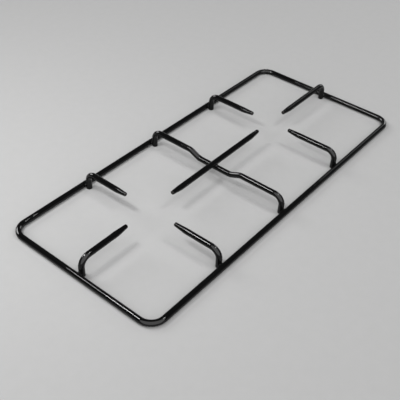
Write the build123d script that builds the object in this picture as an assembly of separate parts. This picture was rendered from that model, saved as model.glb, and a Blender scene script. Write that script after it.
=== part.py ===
from build123d import *
import os

# Hob pan support: a low wire grid for two burners, welded from steel rod and enamelled.
# Millimetres, +Z up. It stands on the hob at z = 0, with the origin under the middle of the frame.
# +X runs along the frame, from the large burner's end to the small burner's end.

# Rod diameters, over the enamel
frame_rod = 7.0
finger_rod = 7.0

# Frame ring, over the outside of the rod, with its corner bends measured at the rod's axis
frame_length = 477.0
frame_width = 213.0
corner_bend = 17.0

# Pan level above the hob, the bend at the axis that turns each leg into its arm, and the rounded foot
pan_level = 26.0
leg_bend = 10.5
foot_round = 0.4

# Burners: how far each lies in from its own end of the frame, and the gap between opposite finger tips
large_burner_inset = 112.0
small_burner_inset = 137.0
large_burner_gap = 72.0
small_burner_gap = 55.0

# Finger tips: tapered mostly from below, then cut square and rounded over
tip_taper = 15.0
tip_end = 4.6
tip_drop = 0.4
tip_round = 1.0

# Dip in the cross bar: the length of its floor and of each ramp, at the axis, and the bends between them
dip_floor = 47.0
dip_ramp = 14.0
dip_bend = 14.0

# Resistance welds: how far one rod sinks into the other, and the fillet of metal and enamel round the joint
weld_sink = 0.8
weld_fillet = 0.35

# Levels and places that follow from the sizes above
frame_level = frame_rod / 2
arm_level = pan_level - finger_rod / 2
dip_level = arm_level - finger_rod + weld_sink
leg_inset = (frame_rod + finger_rod) / 2 - weld_sink
side_leg = (frame_width - frame_rod) / 2 - leg_inset
end_leg = (frame_length - frame_rod) / 2 - leg_inset
large_burner_x = large_burner_inset - frame_length / 2
small_burner_x = frame_length / 2 - small_burner_inset
cross_bar_x = (large_burner_x + small_burner_x) / 2

# A leg's fillet ends above its rounded foot, so the leg's height below the weld's middle limits it
leg_room = frame_level - foot_round
fillet_limit = (leg_room**2 / (frame_rod - weld_sink) - weld_sink) / 2
weld_round = min(weld_fillet, fillet_limit)


def bent_rod(path, diameter):
    """A round rod that follows a path."""
    section = Plane(origin=path @ 0, z_dir=path % 0) * Circle(diameter / 2)
    return sweep(section, path=path)


def round_feet(rod):
    """A rod on the hob with the edge of each foot rounded over."""
    foot_edges = rod.edges().group_by(Axis.Z)[0]
    return fillet(foot_edges, foot_round)


def weld(upper, lower):
    """The upper rod seated on the lower one, with a fillet round each joint."""
    joined = upper + lower
    seams = new_edges(upper, lower, combined=joined)
    return fillet(seams, weld_round) - lower


def tip():
    """The tapered end of a finger, out along +X from the rod's full section at the origin."""
    end_rise = (finger_rod - tip_end) / 2 - tip_drop
    full_section = Plane.YZ * Circle(finger_rod / 2)
    end_section = Plane.YZ * Pos(0, end_rise, tip_taper) * Circle(tip_end / 2)
    taper = loft([full_section, end_section])
    end_edge = taper.edges().filter_by(GeomType.CIRCLE).sort_by(Axis.X)[-1]
    return fillet(end_edge, tip_round)


def frame_ring():
    """One rod bent to a rounded rectangle, lying on the hob."""
    outline = RectangleRounded(frame_length - frame_rod, frame_width - frame_rod, corner_bend).wire()
    return bent_rod(Pos(0, 0, frame_level) * outline, frame_rod)


def finger(reach):
    """A finger with its leg at the origin, its arm along +X and its tip at the given reach."""
    taper_start = reach - tip_taper
    corners = [(0, 0, 0), (0, 0, arm_level), (taper_start, 0, arm_level)]
    rod = bent_rod(FilletPolyline(*corners, radius=leg_bend), finger_rod)
    return round_feet(rod) + Pos(taper_start, 0, arm_level) * tip()


def cross_bar():
    """The bar between the long sides, which dips in the middle to pass under the centre bar."""
    floor_corner = dip_floor / 2
    ramp_corner = floor_corner + dip_ramp
    back_half = [(floor_corner, dip_level), (ramp_corner, arm_level), (side_leg, arm_level), (side_leg, 0)]
    front_half = [(-y, z) for y, z in reversed(back_half)]
    corners = [(cross_bar_x, y, z) for y, z in front_half + back_half]
    bends = [leg_bend, dip_bend, dip_bend, dip_bend, dip_bend, leg_bend]
    return round_feet(bent_rod(FilletPolyline(*corners, radius=bends), finger_rod))


def centre_bar():
    """The straight bar along X that lies in the cross bar's dip and points at both burners."""
    start = Pos(large_burner_x + large_burner_gap / 2 + tip_taper, 0, arm_level)
    stop = Pos(small_burner_x - small_burner_gap / 2 - tip_taper, 0, arm_level)
    rod = bent_rod(Line(start.position, stop.position), finger_rod)
    return rod + stop * tip() + start * Rot(0, 0, 180) * tip()


frame = frame_ring()
crossing = weld(cross_bar(), frame)
parts = {"frame_ring": frame, "cross_bar": crossing, "centre_bar": weld(centre_bar(), crossing)}

burners = {
    "large": (large_burner_x, large_burner_gap / 2, -1),
    "small": (small_burner_x, small_burner_gap / 2, 1),
}
for burner, (burner_x, tip_radius, end) in burners.items():
    end_finger = finger(end_leg - end * burner_x - tip_radius)
    end_place = Pos(end * end_leg, 0, 0) * Rot(0, 0, 90 + 90 * end)
    parts[burner + "_end_finger"] = weld(end_place * end_finger, frame)
    side_finger = finger(side_leg - tip_radius)
    for side, facing in (("front", -1), ("back", 1)):
        side_place = Pos(burner_x, facing * side_leg, 0) * Rot(0, 0, -90 * facing)
        parts[burner + "_" + side + "_finger"] = weld(side_place * side_finger, frame)

os.makedirs("parts", exist_ok=True)
for name, part in parts.items():
    export_step(part, os.path.join("parts", name + ".step"))
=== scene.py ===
import bpy
import math
import numpy as np
from mathutils import Matrix, Vector


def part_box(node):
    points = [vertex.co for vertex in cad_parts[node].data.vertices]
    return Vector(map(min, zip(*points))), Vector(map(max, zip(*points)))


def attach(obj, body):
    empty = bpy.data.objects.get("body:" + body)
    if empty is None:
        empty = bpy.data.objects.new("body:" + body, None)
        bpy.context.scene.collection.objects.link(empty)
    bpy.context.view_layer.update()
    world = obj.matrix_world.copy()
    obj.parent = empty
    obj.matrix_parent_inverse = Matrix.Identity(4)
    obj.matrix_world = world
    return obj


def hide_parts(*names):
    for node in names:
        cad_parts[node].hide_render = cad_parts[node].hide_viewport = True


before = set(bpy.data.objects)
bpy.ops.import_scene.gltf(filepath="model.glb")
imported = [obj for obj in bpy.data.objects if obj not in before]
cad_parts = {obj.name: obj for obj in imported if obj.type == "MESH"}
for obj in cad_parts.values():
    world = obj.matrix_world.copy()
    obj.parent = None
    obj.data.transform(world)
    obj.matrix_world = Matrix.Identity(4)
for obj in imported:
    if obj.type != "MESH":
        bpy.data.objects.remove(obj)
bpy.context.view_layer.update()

# Frame ring: one steel rod bent cold to a rounded rectangle, its two ends butt-welded in a corner bend.
# It lies on the hob, and the legs are welded to it. The finished grid is dipped in black vitreous enamel and
# fired, which leaves one glassy, slightly wavy skin over everything, thickest in the grooves of the welds.
ring_low, ring_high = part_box("frame_ring")
rod_radius = (ring_high.z - ring_low.z) / 2
ring_end = ring_high.x - rod_radius
ring_side = ring_high.y - rod_radius
ring_level = ring_low.z + rod_radius
corner_bend = 0.017
up = (0, 0, 1)

# Rods sink a little into each other where they are welded, so a leg stands this far in from the ring's axis.
weld_sink = 0.0008
leg_inset = 2 * rod_radius - weld_sink
side_leg = ring_side - leg_inset
end_leg = ring_end - leg_inset
leg_places = [Vector((end * end_leg, 0, 0)) for end in (-1, 1)]
for standing in ("large_front_finger", "small_front_finger", "cross_bar"):
    low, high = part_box(standing)
    leg_places += [Vector(((low.x + high.x) / 2, side * side_leg, 0)) for side in (-1, 1)]

# A rod's skin is drawn by so many points in each bend and round the rod, in rows that are closer near a weld.
arc_points = 90
sides_round = 56
open_spacing = 0.0016
close_spacing = 0.00035
weld_zone = 0.0105


def bent_axis(corners, bends):
    """Points along a rod's axis: straight between its corners, and an arc at each inner corner."""
    axis = [corners[0]]
    for before, corner, after, bend in zip(corners, corners[1:], corners[2:], bends):
        incoming = (corner - before).normalized()
        outgoing = (after - corner).normalized()
        turn = incoming.angle(outgoing)
        start = corner - incoming * bend * math.tan(turn / 2)
        inward = (outgoing - incoming * math.cos(turn)) / math.sin(turn)
        for angle in np.linspace(0, turn, arc_points):
            axis.append(start + bend * (incoming * math.sin(angle) + inward * (1 - math.cos(angle))))
    axis.append(corners[-1])
    return np.array(axis)


def axis_lengths(axis):
    """How far along the rod each point of its axis lies."""
    return np.concatenate([[0], np.cumsum(np.linalg.norm(np.diff(axis, axis=0), axis=1))])


def places_along(axis, stations):
    """The points of an axis at some distances along it."""
    lengths = axis_lengths(axis)
    return np.stack([np.interp(stations, lengths, axis[:, k]) for k in range(3)], axis=-1)


def spaced_stations(axis, welds):
    """Distances along a rod, close together beside its welds and more open elsewhere."""
    every = np.arange(0, axis_lengths(axis)[-1], close_spacing / 2)
    points = places_along(axis, every)
    nearest = np.min([np.linalg.norm(points - np.array(weld), axis=1) for weld in welds], axis=0)
    crowding = np.where(nearest < weld_zone, 1 / close_spacing, 1 / open_spacing)
    count = np.cumsum(crowding) * close_spacing / 2
    return np.interp(np.arange(count[0], count[-1]), count, every)


def rays_round(axis, bend_normal, stations):
    """The middle of each cross-section of a rod, and the directions out from it to the skin."""
    middles = places_along(axis, stations)
    ahead = places_along(axis, stations + close_spacing) - places_along(axis, stations - close_spacing)
    ahead /= np.linalg.norm(ahead, axis=1, keepdims=True)
    outward = np.cross(ahead, bend_normal)
    turns = np.linspace(0, 2 * math.pi, sides_round, endpoint=False)[:, None]
    return middles, np.cos(turns) * outward[:, None] + np.sin(turns) * np.array(bend_normal)


# Uneven surfaces are sums of this many waves, whose lengths differ by a spread about the chosen one.
waves_mixed = 16
pitch_spread = (0.6, 1.3)


def wave_field(points, length, seed):
    """A smooth random height at each point, about one high, in waves of about the given length."""
    chance = np.random.default_rng(seed)
    headings = chance.normal(size=(waves_mixed, 3))
    headings /= np.linalg.norm(headings, axis=1, keepdims=True)
    pitches = 2 * math.pi / length * chance.uniform(*pitch_spread, (waves_mixed, 1))
    phases = chance.uniform(0, 2 * math.pi, waves_mixed)
    return np.sin(points @ (headings * pitches).T + phases).sum(-1) / math.sqrt(waves_mixed / 2)


# Weld metal and enamel fill the groove between two rods to about this width, a little unevenly.
weld_pool = 0.0015
pool_unevenness = 0.22
pool_wave = 0.0035

# The filled skin is looked for so far out from the bare rod, in steps, and laps a little into the other rod.
fill_reach = 0.0022
climb_steps = 64
fill_overlap = 0.00025


def fill_welds(middles, rays, radii, carriers):
    """The radii of a rod, raised beside each rod welded to it, so that the two run smoothly together."""
    filled = radii.copy()
    climb = np.linspace(-weld_sink, fill_reach, climb_steps)
    for point, heading in carriers:
        offset = middles - np.array(point)
        gap = np.linalg.norm(offset - (offset @ np.array(heading))[:, None] * np.array(heading), axis=1)
        near = gap < 2 * rod_radius + fill_reach
        skin = middles[near, None] + rays[near] * filled[near, :, None]
        pool = weld_pool * (1 + pool_unevenness * wave_field(skin, pool_wave, seed=5))[..., None]
        tries = filled[near, :, None] + climb
        trial = middles[near, None, None] + rays[near][:, :, None] * tries[..., None] - np.array(point)
        across = trial - (trial @ np.array(heading))[..., None] * np.array(heading)
        other = np.linalg.norm(across, axis=-1) - rod_radius
        blend = np.maximum(pool - np.abs(climb - other), 0) / pool
        height = np.minimum(climb, other) - blend**2 * pool / 4
        outside = height > 0
        first = np.maximum(outside.argmax(-1), 1)[..., None]
        above = np.take_along_axis(height, first, -1)[..., 0]
        below = np.take_along_axis(height, first - 1, -1)[..., 0]
        crossing = climb[first[..., 0]] - (climb[1] - climb[0]) * above / (above - below)
        buried = climb[height.argmax(-1)] + fill_overlap
        filled[near] += np.where(outside.any(-1), crossing, buried)
    return filled


def pooled_share(filled, radii):
    """How much weld metal and enamel has pooled on each point of a rod's skin, from none to all."""
    return np.clip((filled - radii) / weld_pool, 0, 1)


# The enamel's own thickness wanders a little along each rod, in long and in short waves.
long_wave, long_swell = 0.014, 0.000018
short_wave, short_swell = 0.005, 0.000005


def enamel_skin(middles, rays, radii):
    """The skin of an enamelled rod, as rows of points round it."""
    bare = middles[:, None] + rays * radii[..., None]
    long_coat = long_swell * wave_field(bare, long_wave, seed=11)
    short_coat = short_swell * wave_field(bare, short_wave, seed=12)
    skin = bare + rays * (long_coat + short_coat)[..., None]
    skin[..., 2] = np.maximum(skin[..., 2], ring_low.z)
    return skin


class Value:
    """One shader socket, on which sums are written as in Python."""

    def __init__(self, socket):
        self.socket = socket

    @staticmethod
    def node(tree, kind, settings=None, sockets=None, output=0):
        """Add a node of any kind: its settings first, then the value or the link of each socket."""
        made = tree.nodes.new(kind)
        for name, setting in (settings or {}).items():
            setattr(made, name, setting)
        for name, feed in (sockets or {}).items():
            if isinstance(feed, Value):
                tree.links.new(feed.socket, made.inputs[name])
            else:
                made.inputs[name].default_value = feed
        return Value(made.outputs[output])

    def maths(self, operation, first, second):
        settings = {"operation": operation}
        return Value.node(self.socket.id_data, "ShaderNodeMath", settings, {0: first, 1: second})

    def __add__(self, other):
        return self.maths("ADD", self, other)

    def __sub__(self, other):
        return self.maths("SUBTRACT", self, other)

    def __rsub__(self, other):
        return self.maths("SUBTRACT", other, self)

    def __mul__(self, other):
        return self.maths("MULTIPLY", self, other)

    def __gt__(self, other):
        return self.maths("GREATER_THAN", self, other)

    def at_least(self, other):
        return self.maths("MAXIMUM", self, other)

    __radd__ = __add__
    __rmul__ = __mul__


def noise(place, scale, detail):
    """A random value that changes smoothly from place to place."""
    sockets = {"Vector": place, "Scale": scale, "Detail": detail}
    return Value.node(place.socket.id_data, "ShaderNodeTexNoise", None, sockets)


# A Mix node has a socket for each kind of value, and these are the ones for colours.
mix_first, mix_second, mix_result = 6, 7, 2


def mixed(amount, first, second):
    """A colour between two others."""
    sockets = {"Factor": amount, mix_first: first, mix_second: second}
    return Value.node(amount.socket.id_data, "ShaderNodeMix", {"data_type": "RGBA"}, sockets, mix_result)


# Colours of the fired coat: near-black glass mottled at random towards a slightly greyer black, and turned
# brown where it is thin.
enamel_black = (0.0007, 0.0007, 0.0007, 1)
enamel_grey = (0.0014, 0.0014, 0.0014, 1)
enamel_brown = (0.0036, 0.0024, 0.0018, 1)
enamel_ior = 1.52
enamel_shine = 0.23

# Marks in the coat: how many of each lie along a metre, and how many finer sizes each noise adds.
mottle_grain = (55.0, 3.0)
handling_grain = (38.0, 4.0)
edge_grain = (420.0, 2.0)
peel_grain = (640.0, 2.0)
pool_grain = (1500.0, 1.0)
pinhole_cells = 210.0

# Handling dulls the highest patches only, few cells hold a pinhole, and a thin edge is brown throughout.
handling_floor = 0.48
pinhole_choice = 0.62
pinhole_steepness = 12.0
edge_floor = 0.45

# Roughness of the clean glass and what each mark adds to it, then the height of each mark in the relief.
clean_roughness = 0.028
handling_roughness = 0.18
edge_roughness = 0.10
pinhole_roughness = 0.25
peel_height = 0.55
pool_height = 0.9
pinhole_depth = 6.0
relief_unit = 0.0000045


def black_enamel():
    """Vitreous enamel: glassy black with faint orange peel, handling marks, pinholes and thin brown edges."""
    material = bpy.data.materials.new("black_enamel")
    material.use_nodes = True
    tree = material.node_tree
    glass = tree.nodes["Principled BSDF"]
    glass.inputs["IOR"].default_value = enamel_ior
    glass.inputs["Specular IOR Level"].default_value = enamel_shine

    place = Value.node(tree, "ShaderNodeTexCoord", output="Object")
    thin = Value.node(tree, "ShaderNodeAttribute", {"attribute_name": "thin"}, output="Fac")
    pooled = Value.node(tree, "ShaderNodeAttribute", {"attribute_name": "pooled"}, output="Fac")

    def pits(output):
        sockets = {"Vector": place, "Scale": pinhole_cells}
        return Value.node(tree, "ShaderNodeTexVoronoi", None, sockets, output)

    handling = (noise(place, *handling_grain) - handling_floor).at_least(0.0)
    chosen = pits("Color") > pinhole_choice
    pinhole = (1 - pits("Distance") * pinhole_steepness).at_least(0.0) * chosen
    rim = thin * (edge_floor + noise(place, *edge_grain))

    body = mixed(noise(place, *mottle_grain), enamel_black, enamel_grey)
    colour = mixed(rim, body, enamel_brown)
    dulled = handling_roughness * handling + edge_roughness * rim + pinhole_roughness * pinhole
    rough = clean_roughness + dulled
    peel = peel_height * noise(place, *peel_grain)
    relief = peel + pool_height * pooled * noise(place, *pool_grain) - pinhole_depth * pinhole
    bump = {"Strength": 1.0, "Distance": relief_unit, "Height": relief}
    normal = Value.node(tree, "ShaderNodeBump", None, bump, "Normal")
    tree.links.new(colour.socket, glass.inputs["Base Color"])
    tree.links.new(rough.socket, glass.inputs["Roughness"])
    tree.links.new(normal.socket, glass.inputs["Normal"])
    return material


enamel = black_enamel()


def enamelled_rod(node, skin, closed, pooled, thin):
    """A rod's skin as one piece, which stands for its CAD node."""
    rows, around = skin.shape[:2]
    points = np.arange(rows * around).reshape(rows, around)
    here = points if closed else points[:-1]
    ahead = np.roll(points, -1, axis=0) if closed else points[1:]
    quads = np.stack([here, ahead, np.roll(ahead, -1, 1), np.roll(here, -1, 1)], axis=-1)
    faces = quads.reshape(-1, 4).tolist()
    if not closed:
        faces += [points[0].tolist(), points[-1][::-1].tolist()]
    mesh = bpy.data.meshes.new("enamelled_" + node)
    mesh.from_pydata(skin.reshape(-1, 3).tolist(), [], faces)
    mesh.shade_smooth()
    for name, mark in (("pooled", pooled), ("thin", thin)):
        mesh.attributes.new(name, "FLOAT", "POINT").data.foreach_set("value", np.ravel(mark))
    mesh.materials.append(enamel)
    piece = bpy.data.objects.new("enamelled_" + node, mesh)
    bpy.context.scene.collection.objects.link(piece)
    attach(piece, "root")
    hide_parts(node)


# Butt weld: the rod's two ends meet a little before the middle of one corner bend, pressed together hot.
# The metal forced out round the joint is trimmed, which leaves two low, uneven ridges.
butt_shift = -0.0014
ridges_apart = 0.0036
ridge_height, ridge_width = 0.0004, 0.0006
ridge_unevenness, ridge_wave = 0.35, 0.004

ring_turns = ((1, -1), (1, 1), (-1, 1), (-1, -1))
ring_start = Vector((0, -ring_side, ring_level))
ring_corners = [Vector((x * ring_end, y * ring_side, ring_level)) for x, y in ring_turns]
ring_axis = bent_axis([ring_start, *ring_corners, ring_start], [corner_bend] * len(ring_corners))
butt_bend = ring_corners[1] - Vector((1, 1, 0)) * corner_bend * (1 - math.sqrt(0.5))
ring_joints = [place + Vector((0, 0, ring_level)) for place in leg_places]
ring_stations = spaced_stations(ring_axis, [*ring_joints, butt_bend])
ring_middles, ring_rays = rays_round(ring_axis, up, ring_stations)
ring_radii = np.full(ring_rays.shape[:2], rod_radius)
ring_filled = fill_welds(ring_middles, ring_rays, ring_radii, [(place, up) for place in leg_places])
ring_pooled = pooled_share(ring_filled, ring_radii)

bend_middle = ring_stations[np.linalg.norm(ring_middles - np.array(butt_bend), axis=1).argmin()]
beside_butt = np.abs(ring_stations - bend_middle - butt_shift) - ridges_apart / 2
ridge_shape = np.exp(-((beside_butt / ridge_width) ** 2))[:, None]
bare_ring = ring_middles[:, None] + ring_rays * rod_radius
ridge_swell = 1 + ridge_unevenness * wave_field(bare_ring, ridge_wave, seed=21)
ring_filled += ridge_height * ridge_shape * ridge_swell
ring_skin = enamel_skin(ring_middles, ring_rays, ring_filled)
enamelled_rod("frame_ring", ring_skin, True, np.maximum(ring_pooled, ridge_shape), np.zeros_like(ring_radii))

# Fingers: six short rods, each cut to length, swaged to a taper at one end and bent to a leg and an arm.
# The leg stands on the hob inside the ring and is resistance-welded to it, and the arm carries the pan and
# points at the middle of a burner. Enamel draws back from the tip and the foot's edge, and is thin there.
leg_bend = 0.0105
tip_taper = 0.015
tip_radius = 0.0023
tip_drop = 0.0004
tip_rise = rod_radius - tip_radius - tip_drop
tip_ease = 0.0025
thin_band = 0.0016

# Each kind of end: the length of its rounded edge, how square the edge is, and whether the rod tapers to it.
tip_end = (0.0012, 4, True)
foot_end = (0.0005, 8, False)
edge_angles = np.radians([88, 78, 68, 56, 42, 28, 14, 0])


def capped(radii, distance, cap, squareness):
    """A rod's radii near its cut end, with the edge rounded over."""
    depth = np.clip(1 - distance / cap, 0, 1)
    return radii * (1 - depth**2) ** (1 / squareness)


def taper_share(distance):
    """How far a tip has tapered, from none to all, at some distance from its end."""
    inward = tip_taper - distance
    eased = (np.clip(inward + tip_ease, 0, 2 * tip_ease)) ** 2 / (4 * tip_ease)
    return (eased + np.maximum(inward - tip_ease, 0)) / tip_taper


def thin_edge(distance):
    """Where enamel is thin: one at a cut end, and none beyond a narrow band."""
    return np.clip(1 - distance / thin_band, 0, 1)


def open_rod(node, axis, bend_normal, ends, joints, carriers):
    """A rod with two cut ends, welded at its joints to the rods that carry it."""
    length = axis_lengths(axis)[-1]
    start_edge, stop_edge = [cap * (1 - np.sin(edge_angles)) for cap, squareness, tapers in ends]
    stations = np.concatenate([spaced_stations(axis, joints), start_edge, length - stop_edge])
    inside = (stations >= start_edge[0]) & (stations <= length - stop_edge[0])
    stations = np.unique(stations[inside])
    middles, rays = rays_round(axis, bend_normal, stations)
    radii = np.full(len(stations), rod_radius)
    thin = np.zeros(len(stations))
    for (cap, squareness, tapers), distance in zip(ends, (stations, length - stations)):
        share = tapers * taper_share(distance)
        middles[:, 2] += tip_rise * share
        radii = capped(radii - (rod_radius - tip_radius) * share, distance, cap, squareness)
        thin = np.maximum(thin, thin_edge(distance))
    radii, thin = [np.repeat(along[:, None], sides_round, axis=1) for along in (radii, thin)]
    filled = fill_welds(middles, rays, radii, carriers)
    enamelled_rod(node, enamel_skin(middles, rays, filled), False, pooled_share(filled, radii), thin)


def finger(node, leg, heading, reach, arm_level):
    """A finger that stands at a leg's place and points along a heading, as far as its reach."""
    elbow = Vector((leg.x, leg.y, arm_level))
    axis = bent_axis([leg, elbow, elbow + heading * reach], [leg_bend])
    across = Vector(up).cross(heading)
    joint = leg + Vector((0, 0, ring_level))
    ring_run = (joint - heading * leg_inset, across)
    open_rod(node, axis, across, (foot_end, tip_end), [joint], [ring_run])


for burner, end in (("large", -1), ("small", 1)):
    low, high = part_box(burner + "_end_finger")
    tip_x = high.x if end < 0 else low.x
    leg = Vector((end * end_leg, 0, 0))
    finger(burner + "_end_finger", leg, Vector((-end, 0, 0)), abs(tip_x - leg.x), high.z - rod_radius)
    for place, side in (("front", -1), ("back", 1)):
        low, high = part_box(burner + "_" + place + "_finger")
        tip_y = high.y if side < 0 else low.y
        leg = Vector(((low.x + high.x) / 2, side * side_leg, 0))
        reach = abs(tip_y - leg.y)
        finger(burner + "_" + place + "_finger", leg, Vector((0, -side, 0)), reach, high.z - rod_radius)

# Cross bar: one rod bent to a leg at each end, standing inside the ring's long sides and welded to them.
# Its arms are level with the fingers. Between them it dips by one rod, and the centre bar lies in the dip.
bar_low, bar_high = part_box("cross_bar")
bar_x = (bar_low.x + bar_high.x) / 2
arm_level = bar_high.z - rod_radius
dip_level = arm_level - 2 * rod_radius + weld_sink
dip_floor = 0.047
dip_ramp = 0.014
dip_bend = 0.014
along_frame = (1, 0, 0)

floor_corner = dip_floor / 2
ramp_corner = floor_corner + dip_ramp
back_half = [(floor_corner, dip_level), (ramp_corner, arm_level), (side_leg, arm_level), (side_leg, 0)]
front_half = [(-y, z) for y, z in reversed(back_half)]
bar_corners = [Vector((bar_x, y, z)) for y, z in front_half + back_half]
bar_axis = bent_axis(bar_corners, [leg_bend, dip_bend, dip_bend, dip_bend, dip_bend, leg_bend])
bar_joints = [Vector((bar_x, side * side_leg, ring_level)) for side in (-1, 1)]
bar_joints.append(Vector((bar_x, 0, dip_level)))
bar_carriers = [((0, side * ring_side, ring_level), along_frame) for side in (-1, 1)]
bar_carriers.append(((0, 0, arm_level), along_frame))
open_rod("cross_bar", bar_axis, along_frame, (foot_end, foot_end), bar_joints, bar_carriers)

# Centre bar: a straight rod swaged to a taper at both ends, laid in the cross bar's dip and welded there.
# Its two tips complete the ring of four that points at each burner.
middle_low, middle_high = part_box("centre_bar")
across_frame = (0, 1, 0)
middle_axis = bent_axis([Vector((x, 0, arm_level)) for x in (middle_low.x, middle_high.x)], [])
middle_joint = Vector((bar_x, 0, arm_level))
bar_run = ((bar_x, 0, dip_level), across_frame)
open_rod("centre_bar", middle_axis, across_frame, (tip_end, tip_end), [middle_joint], [bar_run])

# Floor: a plain pale studio card that the support lies on.
# It is matt, so that no light glares on it, and has a faint grain.
floor_half = 3.0
floor_pale = (0.220, 0.220, 0.219, 1)
floor_shade = (0.209, 0.209, 0.208, 1)
floor_grain = (90.0, 5.0)
card = bpy.data.materials.new("pale_card")
card.use_nodes = True
card_tree = card.node_tree
card_face = card_tree.nodes["Principled BSDF"]
card_face.inputs["Specular IOR Level"].default_value = 0.0
card_place = Value.node(card_tree, "ShaderNodeTexCoord", output="Object")
card_colour = mixed(noise(card_place, *floor_grain), floor_pale, floor_shade)
card_tree.links.new(card_colour.socket, card_face.inputs["Base Color"])
floor_turns = ((-1, -1), (1, -1), (1, 1), (-1, 1))
floor_corners = [(x * floor_half, y * floor_half, ring_low.z) for x, y in floor_turns]
floor_mesh = bpy.data.meshes.new("floor")
floor_mesh.from_pydata(floor_corners, [], [(0, 1, 2, 3)])
floor_mesh.materials.append(card)
floor = bpy.data.objects.new("floor", floor_mesh)
bpy.context.scene.collection.objects.link(floor)

# Camera: above and to the left of the near end, looking down across the frame, turned a little on its axis.
# Its lens and sensor are in millimetres.
eye = Vector((-0.5424, -0.3921, 0.5242))
looked_at = Vector((-0.0569, -0.0143, 0.0))
camera_roll = math.radians(2.543)
focal_length = 62.62
sensor_width = 36
lens = bpy.data.cameras.new("camera")
lens.lens = focal_length
lens.sensor_width = sensor_width
camera = bpy.data.objects.new("camera", lens)
aim = (looked_at - eye).to_track_quat("-Z", "Y").to_matrix().to_4x4()
camera.matrix_world = Matrix.Translation(eye) @ aim @ Matrix.Rotation(camera_roll, 4, "Z")
bpy.context.scene.collection.objects.link(camera)
bpy.context.scene.camera = camera


# Light: a strip and its dimmer neighbour over the large burner's end, a soft box high in front and a narrow
# panel beyond the small burner's end give the lines of light on the rods. Wide lights from behind the camera,
# from the back and from the right light the floor, and the room adds a dim even glow.
def lamp(name, kind, energy, middle, facing, along):
    """A light at a place that faces one way, with its width along another."""
    light = bpy.data.lights.new(name, kind)
    light.energy = energy
    placed = bpy.data.objects.new(name, light)
    back = -Vector(facing).normalized()
    across = back.cross(Vector(along)).normalized()
    turned = Matrix((across.cross(back), across, back)).transposed().to_4x4()
    placed.matrix_world = Matrix.Translation(middle) @ turned
    placed.visible_camera = False
    bpy.context.scene.collection.objects.link(placed)
    return light


def soft_panel(name, watts, middle, facing, along, width, depth):
    """A flat soft light near the support."""
    panel = lamp(name, "AREA", watts, Vector(middle), facing, along)
    panel.shape = "RECTANGLE"
    panel.size = width
    panel.size_y = depth


def wide_light(name, strength, middle, spread):
    """A far light that covers a wide round patch of the room, some degrees across, and faces the support."""
    lamp(name, "SUN", strength, Vector(middle), -Vector(middle), up).angle = math.radians(spread)


down = (0, 0, -1)
strip = {"facing": down, "along": across_frame, "width": 0.12, "depth": 0.088}
soft_panel("strip_light", watts=2.8, middle=(-0.325, 0.24, 0.60), **strip)
soft_panel("dim_strip", watts=1.2, middle=(-0.325, 0.36, 0.60), **strip)
soft_panel(
    "soft_box",
    watts=3.4,
    middle=(0.25, -0.43, 1.06),
    facing=down,
    along=along_frame,
    width=0.18,
    depth=0.13,
)
side_place = Vector((0.92, 0.05, 0.60))
soft_panel(
    "side_panel",
    watts=0.6,
    middle=side_place,
    facing=-side_place,
    along=across_frame,
    width=0.12,
    depth=0.36,
)
wide_light("far_light", strength=2.3, middle=(-0.10, 1.35, 0.75), spread=28)
wide_light("right_light", strength=0.6, middle=(1.30, -0.02, 0.50), spread=22)
wide_light("front_light", strength=6.0, middle=(-0.76, -0.84, 1.00), spread=106)

room_tint = (0.95, 0.97, 1.0, 1)
room_strength = 0.12
room = bpy.data.worlds.new("room")
bpy.context.scene.world = room
room.use_nodes = True
room_glow = room.node_tree.nodes["Background"]
room_glow.inputs["Color"].default_value = room_tint
room_glow.inputs["Strength"].default_value = room_strength
bpy.context.scene.view_settings.view_transform = "Standard"
